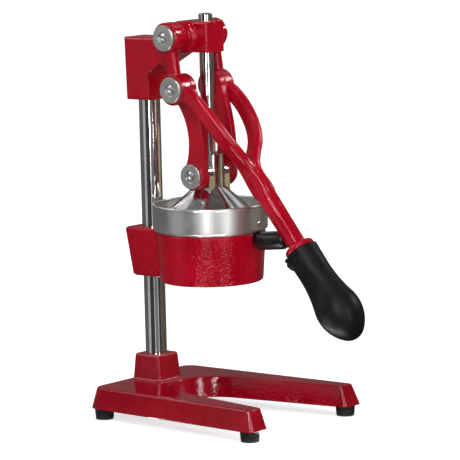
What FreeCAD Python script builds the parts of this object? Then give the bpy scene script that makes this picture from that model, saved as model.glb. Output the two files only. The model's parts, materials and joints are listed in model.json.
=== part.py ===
import FreeCAD, Part
import math
import os
import re
import Sketcher

# Hand lever citrus press. Millimetres, +Z up, front towards -Y.
# The origin lies on the table under the axis of the press rod.

doc = FreeCAD.newDocument("citrus_press")
sheet = doc.addObject("Spreadsheet::Sheet", "sizes")

driving_sizes = {
    # clearances: tight fit, running play, room past the end of a screw, overlap of a cut
    "fit": 0.05,
    "play": 0.3,
    "tip_room": 1.0,
    "cut_over": 1.0,
    # a half round is drawn this much over half its chord, so that it has one centre
    "arc_slack": 0.01,
    # feet
    "foot_height": 11.0,
    "foot_top_d": 20.0,
    "foot_bottom_d": 18.0,
    "foot_rear_inset_x": 5.2,
    "foot_rear_inset_y": 12.5,
    "foot_front_inset_x": 7.5,
    "foot_front_inset_y": 5.5,
    "foot_screw_d": 4.0,
    "foot_screw_head_d": 8.0,
    "foot_screw_head": 3.0,
    "foot_screw_bite": 10.0,
    "foot_screw_room": 1.0,
    "foot_screw_sink": 3.0,
    # base casting
    "base_thick": 21.0,
    "base_rear_x": 75.5,
    "base_tail": 23.0,
    "base_front": 113.0,
    "base_side_draft": 5.2,
    "base_front_draft": 7.0,
    "bay_draft": 3.0,
    "base_corner_r": 14.0,
    "base_edge_r": 2.5,
    "prong_w": 19.8,
    "prong_corner_r": 3.5,
    "gap_r": 44.5,
    "gap_y": 3.5,
    "gap_flare": 9.2,
    # column and its boss
    "column_d": 22.0,
    "column_room": 8.3,
    "column_chamfer": 1.0,
    "column_seat": 4.0,
    "boss_rise": 26.5,
    "boss_wall_x": 5.0,
    "boss_wall_y": 5.5,
    "boss_flare": 2.0,
    "boss_corner_r": 4.0,
    "boss_foot_r": 2.0,
    "bolt_d": 10.0,
    "bolt_bite": 22.0,
    "bolt_head_w": 17.0,
    "bolt_head": 6.4,
    "bolt_sink": 2.6,
    "bolt_washer_d": 22.0,
    "bolt_washer": 2.0,
    "bolt_washer_room": 1.5,
    # bowl holder
    "glass_room": 159.0,
    "holder_high": 51.0,
    "holder_wall": 5.3,
    "holder_foot_wall": 5.0,
    "holder_taper": 3.5,
    "holder_side": 8.5,
    "holder_side_taper": 2.0,
    "holder_back": 11.4,
    "holder_back_taper": 7.4,
    "holder_block_drop": 1.5,
    "holder_edge_r": 2.5,
    "holder_block_r": 4.0,
    "holder_chamfer": 1.6,
    "holder_crease_r": 7.0,
    "holder_crease_sink": 0.4,
    "notch_room": 2.0,
    "set_screw_d": 6.0,
    "set_screw_sink": 1.0,
    "set_screw_key": 3.0,
    "set_screw_key_deep": 3.0,
    # funnel
    "sheet_t": 1.2,
    "funnel_r": 49.5,
    "funnel_room": 0.7,
    "flange_inset": 1.0,
    "funnel_straight": 12.0,
    "funnel_cone": 32.0,
    "spout_r": 12.0,
    "spout_tip_r": 11.0,
    "spout": 10.0,
    # strainer bowl
    "bowl_over": 3.2,
    "bowl_high": 26.0,
    "bowl_rim_r": 1.3,
    "bowl_edge_r": 2.0,
    "dish_room": 1.3,
    "dish_deep": 8.2,
    "slot_w": 3.0,
    "slot_long": 7.0,
    "slot_margin": 0.3,
    "slot_count": 30,
    # reamer
    "reamer_r": 36.0,
    "reamer_high": 42.0,
    "reamer_shoulder_r": 29.0,
    "reamer_shoulder": 19.0,
    "reamer_tip_r": 5.0,
    "reamer_belly_r": 70.0,
    "reamer_crown": 1.5,
    "ridge_count": 12,
    "ridge_w": 3.2,
    "ridge_rise": 2.6,
    "ridge_foot": 2.5,
    "ridge_sink": 2.0,
    # strainer handle
    "knob_turn": 7.0,
    "knob_drop": 6.0,
    "knob_neck_r": 5.5,
    "knob_neck": 9.0,
    "knob_r": 9.4,
    "knob_swell": 12.0,
    "knob_swell_r": 17.0,
    "knob_long": 37.0,
    "knob_end_r": 6.0,
    "rivet_rise": 7.8,
    "rivet_head_d": 5.0,
    "rivet_head": 1.4,
    "rivet_d": 3.0,
    "rivet_tail": 1.0,
    # press rod and cup
    "rod_d": 14.0,
    "rod_proud": 7.2,
    "rod_chamfer": 1.0,
    "rod_tail_d": 10.0,
    "rod_tail": 19.0,
    "hub_d": 31.0,
    "hub_rise": 21.2,
    "cup_over": 6.9,
    "cup_room": 6.5,
    "cup_fall": 29.7,
    "cup_wall": 3.8,
    "cup_lip": 2.6,
    "cup_crown_r": 7.0,
    "lug_rise": 12.2,
    "lug_half_y": 13.5,
    "lug_sink": 1.6,
    "lug_pin_bite": 8.5,
    # links
    "link_drop": 86.9,
    "link_t": 7.5,
    "link_boss": 2.9,
    "link_eye_d": 31.0,
    "link_low_eye_d": 28.6,
    "link_root": 1.5,
    "link_low_root_angle": 47.5,
    "link_top_root_angle": 58.5,
    "link_front_r": 178.0,
    "link_rear_r": 64.0,
    "link_edge_r": 1.2,
    "upper_pin_d": 12.0,
    "lower_pin_d": 10.0,
    # head casting
    "head_front": 12.6,
    "head_half_front": 13.9,
    "head_side_wall": 6.5,
    "head_crown": 15.6,
    "head_deep": 31.3,
    "head_slope": 4.0,
    "head_step": 2.0,
    "head_step_r": 17.9,
    "head_throat_wall": 2.5,
    "head_throat_fall": 21.8,
    "head_high": 81.4,
    "head_back_wall": 6.6,
    "head_back_draft": 1.6,
    "head_throat_r": 10.0,
    "head_edge_r": 2.5,
    "head_boss_proud": 9.2,
    "head_boss_d": 30.0,
    "head_fair_r": 5.0,
    "head_socket_drop": 9.0,
    # lever
    "lever_pivot_y": 20.0,
    "crank_lean": 7.1,
    "crank_drop": 51.4,
    "lever_drop": 50.6,
    "lever_eye_d": 31.0,
    "lever_eye_t": 12.0,
    "lever_bar_w": 14.0,
    "lever_bar_inset": 1.0,
    "lever_bar_r": 3.5,
    "lever_pin_d": 14.0,
    "arm_inset": 0.8,
    "arm_lean": 0.6,
    "arm_deep": 17.0,
    "arm_corner_r": 4.6,
    "arm_rise": 11.5,
    "arm_rise_run": 28.0,
    "arm_arch": 12.5,
    "arm_bend_in": 4.5,
    "arm_bend_run": 28.0,
    "arm_close_x": 19.0,
    "arm_close_rise": 8.7,
    "arm_close_run": 24.0,
    "arm_meet_x": 7.0,
    "arm_meet_rise": 2.7,
    "arm_meet_run": 17.0,
    "arm_root_x": 3.2,
    "arm_root_deep": 19.0,
    "arm_root_run": 17.0,
    "arm_tail_x": 2.0,
    "arm_tail_deep": 15.0,
    "arm_tail_run": 26.0,
    "stem_lead": 17.0,
    "stem_tip_d": 8.0,
    "stem_neck_d": 17.6,
    "stem_top_d": 20.4,
    "stem_low_d": 18.2,
    "stem_run": 82.0,
    "collar_d": 31.0,
    "collar_t": 7.0,
    "collar_r": 3.2,
    # hand grip
    "tang_d": 14.0,
    "tang_cover": 38.0,
    "grip_long": 104.0,
    "grip_start_r": 17.2,
    "grip_neck_r": 16.6,
    "grip_neck_u": 24.0,
    "grip_bulb_r": 22.9,
    "grip_bulb_back": 33.0,
    "grip_bulb_curve": 40.0,
    "guard_r": 20.0,
    "guard_t": 5.0,
    "guard_slope": 13.0,
    "guard_sink": 2.0,
    "guard_start": 0.5,
    "guard_arc": 130.0,
    # caps and their screws
    "cap_d": 26.0,
    "cap_t": 4.0,
    "low_cap_d": 25.0,
    "low_cap_t": 3.4,
    "cap_floor": 1.6,
    "cap_chamfer": 0.6,
    "cap_screw_d": 6.0,
    "cap_screw_short": 3.0,
    "cap_screw_head_d": 10.0,
    "cap_screw_head": 2.2,
    "cap_screw_room": 1.25,
    "cap_key": 4.0,
    "cap_key_deep": 1.6,
}

# places and sizes that follow from the driving sizes, stacked up from the table
derived_sizes = {
    # seats of the funnel and the bowl set the ring that carries them
    "holder_bore_r": "funnel_r + funnel_room",
    "holder_r": "holder_bore_r + holder_wall",
    "holder_bottom_r": "holder_r - holder_taper",
    "holder_bore_bottom_r": "holder_bottom_r - holder_foot_wall",
    "flange_r": "holder_r - flange_inset",
    "bowl_r": "flange_r + bowl_over",
    "dish_r": "funnel_r - sheet_t - dish_room",
    "slot_end_r": "dish_r - sheet_t - slot_margin",
    "notch_w": "2 * (knob_neck_r + notch_room)",
    # the column stands clear of the bowl
    "column_y": "bowl_r + column_room + column_d / 2",
    "base_back": "column_y + base_tail",
    "boss_top_x": "column_d + 2 * boss_wall_x",
    "boss_top_y": "column_d + 2 * boss_wall_y",
    "boss_foot_x": "boss_top_x + 2 * boss_flare",
    "boss_foot_y": "boss_top_y + 2 * boss_flare",
    "holder_block_x": "column_d / 2 + holder_side",
    "holder_block_y": "column_y + column_d / 2 + holder_back",
    # prongs and feet
    "mouth_x": "(gap_r + (gap_y + base_front) * sin(gap_flare)) / cos(gap_flare)",
    "base_front_x": "mouth_x + prong_w",
    "foot_rear_x": "base_rear_x - foot_rear_inset_x",
    "foot_rear_y": "base_back - foot_rear_inset_y",
    "foot_front_y": "base_front - foot_front_inset_y",
    "foot_front_x": "base_front_x - foot_front_inset_x",
    "foot_recess": "foot_screw_head + foot_screw_sink",
    "foot_recess_d": "foot_screw_head_d + 2 * foot_screw_room",
    "bolt_recess": "bolt_washer + bolt_head + bolt_sink",
    "bolt_recess_d": "bolt_washer_d + 2 * bolt_washer_room",
    # heights
    "base_top": "foot_height + base_thick",
    "column_foot": "base_top - column_seat",
    "holder_top": "base_top + glass_room",
    "holder_bottom": "holder_top - holder_high",
    "knob_z": "holder_top - knob_drop",
    "bowl_bottom": "holder_top + sheet_t",
    "bowl_top": "bowl_bottom + bowl_high",
    "rivet_z": "bowl_bottom + rivet_rise",
    "dish_floor": "bowl_bottom + sheet_t - dish_deep",
    "reamer_floor": "dish_floor + sheet_t",
    "cup_neck_z": "reamer_floor + reamer_high + cup_over",
    "cup_rim_z": "cup_neck_z - cup_fall",
    "lower_pivot_z": "cup_neck_z + lug_rise",
    "hub_top": "lower_pivot_z + hub_rise",
    "upper_pivot_z": "lower_pivot_z + link_drop",
    "upper_pivot_y": "lever_pivot_y - crank_lean",
    "lever_pivot_z": "upper_pivot_z + crank_drop",
    "head_top": "lever_pivot_z + head_crown",
    "head_under": "head_top - head_deep",
    "head_bottom": "head_top - head_high",
    "head_throat_z": "head_under - head_throat_fall",
    "head_socket_top": "lever_pivot_z - head_socket_drop",
    "rod_top": "head_top + rod_proud",
    # head
    "head_half_rear": "column_d / 2 + head_side_wall",
    "head_boss_half": "head_half_rear + head_boss_proud",
    "head_throat_y": "column_y - column_d / 2 - head_throat_wall",
    "head_rear_y": "column_y + column_d / 2 + head_back_wall",
    "head_foot_y": "head_rear_y - head_back_draft",
    "head_step_y": "lever_pivot_y + head_step",
    "head_fair_y": "lever_pivot_y - head_boss_d / 2 - head_fair_r",
    "head_fair_x": "head_half_front + (head_half_rear - head_half_front)"
                   " * (head_front + head_fair_y) / (head_front + head_rear_y)",
    # pieces side by side along the pivots
    "lever_inner": "head_boss_half + play",
    "lever_outer": "lever_inner + lever_eye_t",
    "lever_mid": "lever_inner + lever_eye_t / 2",
    "cap_seat": "lever_outer + play",
    "link_outer": "lever_inner - play",
    "link_inner": "link_outer - link_t",
    "low_cap_seat": "link_outer + play",
    "link_boss_x": "link_inner - link_boss",
    "lug_half_x": "link_boss_x - play",
    "lug_pin_x": "lug_half_x - lug_pin_bite",
    "cap_bore_d": "cap_screw_head_d + 2 * cap_screw_room",
    "cap_screw_long": "lever_eye_t - cap_screw_short",
    "arm_w": "lever_eye_t - 2 * arm_inset",
    # cup
    "cup_rim_r": "bowl_r - sheet_t - cup_room",
    "cup_slope": "cup_fall / (cup_rim_r - hub_d / 2)",
    # stations along the lever
    "pivot_h": "crank_drop * cos(lever_drop) - crank_lean * sin(lever_drop)",
    "pivot_u": "-crank_drop * sin(lever_drop) - crank_lean * cos(lever_drop)",
    "arm_bend_u": "arm_rise_run + arm_bend_run",
    "arm_close_u": "arm_bend_u + arm_close_run",
    "arm_meet_u": "arm_close_u + arm_meet_run",
    "arm_root_u": "arm_meet_u + arm_root_run",
    "arm_tail_u": "arm_root_u + arm_tail_run",
    "collar_u": "arm_root_u + stem_run",
    "collar_end_u": "collar_u + collar_t",
    # the waist and the bulb of the grip run into each other, and so do the bulb and its end
    "grip_bulb_u": "grip_long - grip_bulb_back",
    "grip_swell": "2 * atan((grip_bulb_r - grip_neck_r) / (grip_bulb_u - grip_neck_u))",
    "grip_waist_curve": "(grip_bulb_u - grip_neck_u) / sin(grip_swell) - grip_bulb_curve",
    "grip_swell_r": "grip_bulb_r - grip_bulb_curve * (1 - cos(grip_swell))",
    "grip_swell_u": "grip_bulb_u - grip_bulb_curve * sin(grip_swell)",
    "grip_end_slack": "(grip_bulb_curve - grip_bulb_back) / (grip_bulb_curve - grip_bulb_r)",
    "grip_end_turn": "90 deg - 2 * atan(grip_end_slack)",
    "grip_end_r": "grip_bulb_r - grip_bulb_curve * (1 - cos(grip_end_turn))",
    "grip_end_u": "grip_bulb_u + grip_bulb_curve * sin(grip_end_turn)",
    "tang_long": "grip_long - tang_cover",
}


def fill_sheet():
    rows = list(driving_sizes.items())
    rows += [(name, "=" + text) for name, text in derived_sizes.items()]
    for row, (name, entry) in enumerate(rows, 1):
        sheet.set(f"A{row}", name)
        sheet.set(f"B{row}", str(entry))
        sheet.setAlias(f"B{row}", name)
    doc.recompute()


names = set(driving_sizes) | set(derived_sizes)
fill_sheet()


# formulas name the cells of the sheet by their bare names
def formula(text):
    def cell(word):
        return "sizes." + word.group() if word.group() in names else word.group()

    return re.sub(r"[a-z_][a-z_0-9]*", cell, str(text))


def amount(text):
    return float(sheet.evalExpression(formula(text)))


sub_parts = []


def new_body(label):
    body = doc.addObject("PartDesign::Body", label)
    body.Label = label
    sub_parts.append(body)
    return body


def put(body, x="0", y="0", z="0", axis=(0, 0, 1), angle="0"):
    turn = FreeCAD.Rotation(FreeCAD.Vector(*axis), amount(angle))
    spot = FreeCAD.Vector(amount(x), amount(y), amount(z))
    body.Placement = FreeCAD.Placement(spot, turn)
    for name, text in (("x", x), ("y", y), ("z", z)):
        body.setExpression("Placement.Base." + name, formula(text))


def new_sketch(body, name, plane, shift="0"):
    support = [item for item in body.Origin.OriginFeatures if item.Role == plane][0]
    sketch = body.newObject("Sketcher::SketchObject", name)
    sketch.AttachmentSupport = [(support, "")]
    sketch.MapMode = "FlatFace"
    sketch.setExpression("AttachmentOffset.Base.z", formula(shift))
    return sketch


# ties one point of a sketch to the sheet, or to an axis where its coordinate is nought
def pin_point(sketch, edge, end, x, y):
    for kind, text, axis in (("DistanceX", x, -2), ("DistanceY", y, -1)):
        if text == "0":
            sketch.addConstraint(Sketcher.Constraint("PointOnObject", edge, end, axis))
        else:
            index = sketch.addConstraint(Sketcher.Constraint(kind, -1, 1, edge, end, amount(text)))
            sketch.setExpression(f"Constraints[{index}]", formula(text))


def arc_between(start, end, radius, turn):
    chord = end - start
    rise = math.sqrt(max(radius ** 2 - (chord.Length / 2) ** 2, 0.0))
    left = FreeCAD.Vector(-chord.y, chord.x, 0).normalize()
    centre = (start + end) / 2 + left * rise * turn
    first, last = (start, end) if turn > 0 else (end, start)
    angles = [math.atan2(p.y - centre.y, p.x - centre.x) for p in (first, last)]
    circle = Part.Circle(centre, FreeCAD.Vector(0, 0, 1), radius)
    return Part.ArcOfCircle(circle, angles[0], angles[1])


# closed outline through named corners; arcs maps an edge's number to (radius, turn),
# where turn is 1 for an arc that goes round anticlockwise and -1 for a clockwise one,
# and rounds maps the number of a corner between two straight edges to its radius
def outline(sketch, corners, arcs=None, rounds=None):
    arcs = arcs or {}
    first = sketch.GeometryCount
    count = len(corners)
    spots = [FreeCAD.Vector(amount(x), amount(y), 0) for x, y in corners]
    for number, start in enumerate(spots):
        end = spots[(number + 1) % count]
        if number in arcs:
            radius, turn = arcs[number]
            sketch.addGeometry(arc_between(start, end, amount(radius), turn))
        else:
            sketch.addGeometry(Part.LineSegment(start, end))

    def ends(number):
        return (2, 1) if number in arcs and arcs[number][1] < 0 else (1, 2)

    for number, (x, y) in enumerate(corners):
        after = (number + 1) % count
        joint = (first + number, ends(number)[1], first + after, ends(after)[0])
        sketch.addConstraint(Sketcher.Constraint("Coincident", *joint))
        pin_point(sketch, first + number, ends(number)[0], x, y)
    for number, (radius, turn) in arcs.items():
        set_radius(sketch, first + number, radius)
    for number, radius in (rounds or {}).items():
        rounding = sketch.GeometryCount
        sketch.fillet(first + number, 1, amount(radius), True, True)
        set_radius(sketch, rounding, radius)


def set_radius(sketch, edge, radius):
    index = sketch.addConstraint(Sketcher.Constraint("Radius", edge, amount(radius)))
    sketch.setExpression(f"Constraints[{index}]", formula(radius))


def circle(sketch, x, y, diameter):
    spot = FreeCAD.Vector(amount(x), amount(y), 0)
    round_edge = Part.Circle(spot, FreeCAD.Vector(0, 0, 1), amount(diameter) / 2)
    edge = sketch.addGeometry(round_edge)
    pin_point(sketch, edge, 3, x, y)
    index = sketch.addConstraint(Sketcher.Constraint("Diameter", edge, amount(diameter)))
    sketch.setExpression(f"Constraints[{index}]", formula(diameter))


def hexagon(sketch, width):
    corners = [(f"{width} / sqrt(3) * cos({60 * k + 30})", f"{width} / sqrt(3) * sin({60 * k + 30})")
               for k in range(6)]
    corners[1] = ("0", f"{width} / sqrt(3)")
    corners[4] = ("0", f"-{width} / sqrt(3)")
    outline(sketch, corners)


def pad(body, name, sketch, length, both=False, back=False):
    feature = body.newObject("PartDesign::Pad", name)
    feature.Profile = sketch
    feature.SideType = "Symmetric" if both else "One side"
    feature.Reversed = back
    feature.setExpression("Length", formula(length))
    return feature


def spin(body, name, sketch, arc="360"):
    feature = body.newObject("PartDesign::Revolution", name)
    feature.Profile = sketch
    feature.ReferenceAxis = (sketch, ["V_Axis"])
    feature.Midplane = arc != "360"
    feature.setExpression("Angle", formula(arc))
    return feature


def loft(body, name, sketches, ruled=True):
    feature = body.newObject("PartDesign::AdditiveLoft", name)
    feature.Profile = sketches[0]
    feature.Sections = sketches[1:]
    feature.Ruled = ruled
    return feature


# a cut that removes nothing points the wrong way, so its volume is compared
def check_cut(body, volume_before):
    doc.recompute()
    if body.Shape.Volume > volume_before - 0.01:
        raise RuntimeError("nothing was cut from " + body.Label)


def pocket(body, name, sketch, length=None, both=False, back=False):
    doc.recompute()
    before = body.Shape.Volume
    feature = body.newObject("PartDesign::Pocket", name)
    feature.Profile = sketch
    feature.SideType = "Symmetric" if both else "One side"
    feature.Reversed = back
    if length is None:
        feature.Type = "ThroughAll"
    else:
        feature.setExpression("Length", formula(length))
    check_cut(body, before)
    return feature


def groove(body, name, sketch):
    doc.recompute()
    before = body.Shape.Volume
    feature = body.newObject("PartDesign::Groove", name)
    feature.Profile = sketch
    feature.ReferenceAxis = (sketch, ["V_Axis"])
    feature.Angle = 360
    check_cut(body, before)
    return feature


def ring_of(body, name, original, count):
    feature = body.newObject("PartDesign::PolarPattern", name)
    feature.Originals = [original]
    axis = [item for item in body.Origin.OriginFeatures if item.Role == "Z_Axis"][0]
    feature.Axis = (axis, [""])
    feature.Angle = 360
    feature.setExpression("Occurrences", formula(count))
    body.Tip = feature
    return feature


def soften(body, name, radius, wanted):
    doc.recompute()
    base = body.Tip
    edges = [f"Edge{n}" for n, edge in enumerate(base.Shape.Edges, 1) if wanted(edge)]
    feature = body.newObject("PartDesign::Fillet", name)
    feature.Base = (base, edges)
    feature.setExpression("Radius", formula(radius))
    doc.recompute()
    return feature


# radius of a round crown with its centre on the axis
def crown_radius(half_width, rise):
    return f"(({half_width}) ^ 2 + ({rise}) ^ 2) / (2 * ({rise}))"


def turned(label, corners, arcs=None):
    body = new_body(label)
    sketch = new_sketch(body, label + "_profile", "XZ_Plane")
    outline(sketch, corners, arcs)
    spin(body, label + "_turning", sketch)
    return body


# edges are picked by where they lie, to within this distance
near = 0.1


def span(edge):
    return edge.BoundBox


def level_at(edge, height):
    box = span(edge)
    return abs(box.ZMin - height) < near and abs(box.ZMax - height) < near


sides = (("left", -1), ("right", 1))


# cast base: a drafted plate with a round bay between two prongs, where the glass stands
def base_outline(body, name, height, grow, front_grow, bay_grow):
    front = f"base_front + {front_grow}"
    bay = f"(gap_r - {bay_grow})"
    mouth = f"({bay} + (gap_y + {front}) * sin(gap_flare)) / cos(gap_flare)"
    flank_x = f"{bay} * cos(gap_flare)"
    flank_y = f"gap_y + {bay} * sin(gap_flare)"
    rear = (f"base_rear_x + {grow}", f"base_back + {grow}")
    corner = f"base_front_x + {grow}"
    sketch = new_sketch(body, name, "XY_Plane", height)
    prong = f"prong_corner_r + {bay_grow}"
    outline(sketch, [
        rear, (f"-({rear[0]})", rear[1]), (f"-({corner})", f"-({front})"),
        (f"-({mouth})", f"-({front})"), (f"-({flank_x})", flank_y), (flank_x, flank_y),
        (mouth, f"-({front})"), (corner, f"-({front})")],
        {4: (bay, -1)},
        {0: f"base_corner_r + {grow}", 1: f"base_corner_r + {grow}", 2: prong, 3: prong, 6: prong, 7: prong})
    return sketch


foot_places = [
    ("rear_left", "-foot_rear_x", "foot_rear_y"), ("rear_right", "foot_rear_x", "foot_rear_y"),
    ("front_left", "-foot_front_x", "-foot_front_y"), ("front_right", "foot_front_x", "-foot_front_y"),
]


def rectangle(sketch, width, y_from, y_to, rounds=None):
    outline(sketch, [(f"-{width} / 2", y_from), (f"{width} / 2", y_from),
                     (f"{width} / 2", y_to), (f"-{width} / 2", y_to)], rounds=rounds)


def make_base():
    body = new_body("base_casting")
    levels = [("foot_height", "base_side_draft", "base_front_draft", "bay_draft"),
              ("base_top - base_edge_r", "0", "0", "0")]
    for angle in (45, 90):
        inset = f"-base_edge_r * (1 - cos({angle}))"
        levels.append((f"base_top - base_edge_r * (1 - sin({angle}))", inset, inset, inset))
    sections = [base_outline(body, f"base_level_{number}", *level) for number, level in enumerate(levels)]
    loft(body, "base_plate", sections)
    top = amount("base_top")
    foot = new_sketch(body, "boss_foot", "XY_Plane", "base_top")
    corners = {corner: "boss_corner_r" for corner in range(4)}
    rectangle(foot, "boss_foot_x", "column_y - boss_foot_y / 2", "column_y + boss_foot_y / 2", corners)
    crown = new_sketch(body, "boss_crown", "XY_Plane", "base_top + boss_rise")
    rectangle(crown, "boss_top_x", "column_y - boss_top_y / 2", "column_y + boss_top_y / 2", corners)
    loft(body, "boss", [foot, crown])
    boss_top = amount("base_top + boss_rise")
    soften(body, "boss_rim", "base_edge_r", lambda edge: level_at(edge, boss_top))
    reach = amount("column_y - boss_foot_y / 2") - near
    half = amount("boss_foot_x / 2") + near
    soften(body, "boss_root", "boss_foot_r",
           lambda edge: level_at(edge, top) and span(edge).YMin > reach
           and max(-span(edge).XMin, span(edge).XMax) < half)
    socket = new_sketch(body, "column_socket", "XY_Plane", "base_top + boss_rise")
    circle(socket, "0", "column_y", "column_d + 2 * fit")
    pocket(body, "column_bore", socket, "boss_rise + column_seat")
    under = new_sketch(body, "bolt_recess_face", "XY_Plane", "foot_height")
    circle(under, "0", "column_y", "bolt_recess_d")
    pocket(body, "bolt_pocket", under, "bolt_recess", back=True)
    through = new_sketch(body, "bolt_hole", "XY_Plane", "foot_height")
    circle(through, "0", "column_y", "bolt_d + 2 * play")
    pocket(body, "bolt_clearance", through, "base_thick", back=True)
    pilots = new_sketch(body, "foot_holes", "XY_Plane", "foot_height")
    for name, x, y in foot_places:
        circle(pilots, x, y, "foot_screw_d + 2 * fit")
    pocket(body, "foot_pilots", pilots, "foot_screw_bite + tip_room", back=True)


def make_feet():
    for name, x, y in foot_places:
        foot = turned("foot_" + name, [
            ("foot_screw_d / 2 + fit", "foot_recess"), ("foot_recess_d / 2", "foot_recess"),
            ("foot_recess_d / 2", "0"), ("foot_bottom_d / 2", "0"),
            ("foot_top_d / 2", "foot_height"), ("foot_screw_d / 2 + fit", "foot_height")])
        put(foot, x, y)
        screw = turned("foot_screw_" + name, [
            ("0", "foot_screw_sink"), ("foot_screw_head_d / 2", "foot_screw_sink"),
            ("foot_screw_head_d / 2", "foot_recess"), ("foot_screw_d / 2", "foot_recess"),
            ("foot_screw_d / 2", "foot_height + foot_screw_bite"), ("0", "foot_height + foot_screw_bite")])
        put(screw, x, y)


# chromed column, bolted to the base from below
def make_column():
    bolt_end = "column_foot + bolt_bite"
    column = turned("column", [
        ("bolt_d / 2 + fit", "column_foot"), ("column_d / 2 - column_chamfer", "column_foot"),
        ("column_d / 2", "column_foot + column_chamfer"),
        ("column_d / 2", "head_socket_top - column_chamfer"),
        ("column_d / 2 - column_chamfer", "head_socket_top"), ("0", "head_socket_top"),
        ("0", f"{bolt_end} + tip_room"), ("bolt_d / 2 + fit", f"{bolt_end} + tip_room")])
    put(column, "0", "column_y")
    seat = "foot_height + bolt_recess"
    washer = turned("column_washer", [
        ("bolt_d / 2 + fit", f"{seat} - bolt_washer"), ("bolt_washer_d / 2", f"{seat} - bolt_washer"),
        ("bolt_washer_d / 2", seat), ("bolt_d / 2 + fit", seat)])
    put(washer, "0", "column_y")
    bolt = new_body("column_bolt")
    face = new_sketch(bolt, "bolt_head_face", "XY_Plane", f"{seat} - bolt_washer - bolt_head")
    hexagon(face, "bolt_head_w")
    pad(bolt, "bolt_hex", face, "bolt_head")
    shank = new_sketch(bolt, "bolt_shank_face", "XY_Plane", f"{seat} - bolt_washer")
    circle(shank, "0", "0", "bolt_d")
    pad(bolt, "bolt_shank", shank, f"{bolt_end} - ({seat} - bolt_washer)")
    put(bolt, "0", "column_y")


# socket set screws that clamp the holder and the head to the column from behind
def make_set_screw(label, height, rear_y):
    length = f"{rear_y} - set_screw_sink - column_y - column_d / 2"
    screw = new_body(label)
    face = new_sketch(screw, label + "_face", "XY_Plane")
    circle(face, "0", "0", "set_screw_d")
    pad(screw, label + "_shank", face, length)
    key = new_sketch(screw, label + "_key", "XY_Plane", length)
    hexagon(key, "set_screw_key")
    pocket(screw, label + "_socket", key, "set_screw_key_deep")
    put(screw, "0", "column_y + column_d / 2", height, (1, 0, 0), "-90")


def cut_set_screw_hole(body, name, height):
    hole = new_sketch(body, name, "XZ_Plane", "-column_y")
    circle(hole, "0", height, "set_screw_d + 2 * fit")
    pocket(body, name + "_bore", hole)


# open notch in front, which the neck of the strainer handle drops into
def cut_notch(body, name):
    notch = new_sketch(body, name, "XZ_Plane")
    notch.AttachmentOffset = FreeCAD.Placement(
        FreeCAD.Vector(), FreeCAD.Rotation(FreeCAD.Vector(0, 1, 0), amount("knob_turn")))
    top = "bowl_bottom + cut_over"
    outline(notch, [("-notch_w / 2", "knob_z"), ("notch_w / 2", "knob_z"),
                    ("notch_w / 2", top), ("-notch_w / 2", top)],
            {0: ("notch_w / 2 + arc_slack", 1)})
    pocket(body, name + "_cut", notch, back=True)


# cast ring that carries the funnel and bowl, with a block clamped on the column
def make_holder():
    body = new_body("bowl_holder")
    roof = "(holder_top - holder_block_drop)"
    low_x = "holder_block_x - holder_side_taper"
    low_y = "holder_block_y - holder_back_taper"
    levels = [
        ("holder_bottom", f"{low_x} - holder_chamfer", f"{low_y} - holder_chamfer"),
        ("holder_bottom + holder_chamfer", low_x, low_y),
        (f"{roof} - holder_chamfer", "holder_block_x", "holder_block_y"),
        (roof, "holder_block_x - holder_chamfer", "holder_block_y - holder_chamfer")]
    sections = []
    for number, (height, half, rear) in enumerate(levels):
        level = new_sketch(body, f"holder_block_{number}", "XY_Plane", height)
        corners = {2: "holder_block_r", 3: "holder_block_r"}
        rectangle(level, f"2 * ({half})", "holder_bottom_r / 2", rear, corners)
        sections.append(level)
    loft(body, "holder_block", sections)
    wall = new_sketch(body, "holder_wall", "XZ_Plane")
    outline(wall, [("0", "holder_bottom"), ("holder_bottom_r", "holder_bottom"),
                   ("holder_r", "holder_top"), ("0", "holder_top")],
            rounds={1: "holder_edge_r", 2: "holder_edge_r"})
    spin(body, "holder_ring", wall)
    sections = []
    for number, (height, half, rear) in enumerate(levels[1:3]):
        lean = f"holder_taper * ({height} - holder_bottom) / holder_high"
        ring = f"(holder_bottom_r + {lean} - holder_crease_sink)"
        side = f"({half} - holder_crease_sink)"
        reach = f"({ring} + holder_crease_r)"
        middle = f"sqrt({reach} ^ 2 - ({side} + holder_crease_r) ^ 2)"
        meet = (f"{ring} / {reach} * ({side} + holder_crease_r)", f"{ring} / {reach} * {middle}")
        crease = new_sketch(body, f"holder_crease_{number}", "XY_Plane", height)
        outline(crease, [
            (side, middle), (f"-{side}", middle), (f"-{meet[0]}", meet[1]),
            (f"-{side}", f"{ring} / 2"), (side, f"{ring} / 2"), meet],
            {1: ("holder_crease_r", -1), 5: ("holder_crease_r", -1)})
        sections.append(crease)
    loft(body, "holder_crease", sections)
    bore = new_sketch(body, "holder_bore_profile", "XZ_Plane")
    outline(bore, [("0", "holder_bottom - cut_over"), ("holder_bore_bottom_r", "holder_bottom - cut_over"),
                   ("holder_bore_r", "holder_top - funnel_straight - cut_over"),
                   ("holder_bore_r", "holder_top + cut_over"), ("0", "holder_top + cut_over")])
    groove(body, "holder_bore", bore)
    socket = new_sketch(body, "holder_socket", "XY_Plane", "holder_top")
    circle(socket, "0", "column_y", "column_d + 2 * fit")
    pocket(body, "holder_column_bore", socket)
    cut_notch(body, "holder_notch")
    cut_set_screw_hole(body, "holder_screw_hole", "holder_top - holder_high / 2")
    make_set_screw("holder_set_screw", "holder_top - holder_high / 2",
                   "holder_block_y - holder_back_taper / 2")


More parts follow.
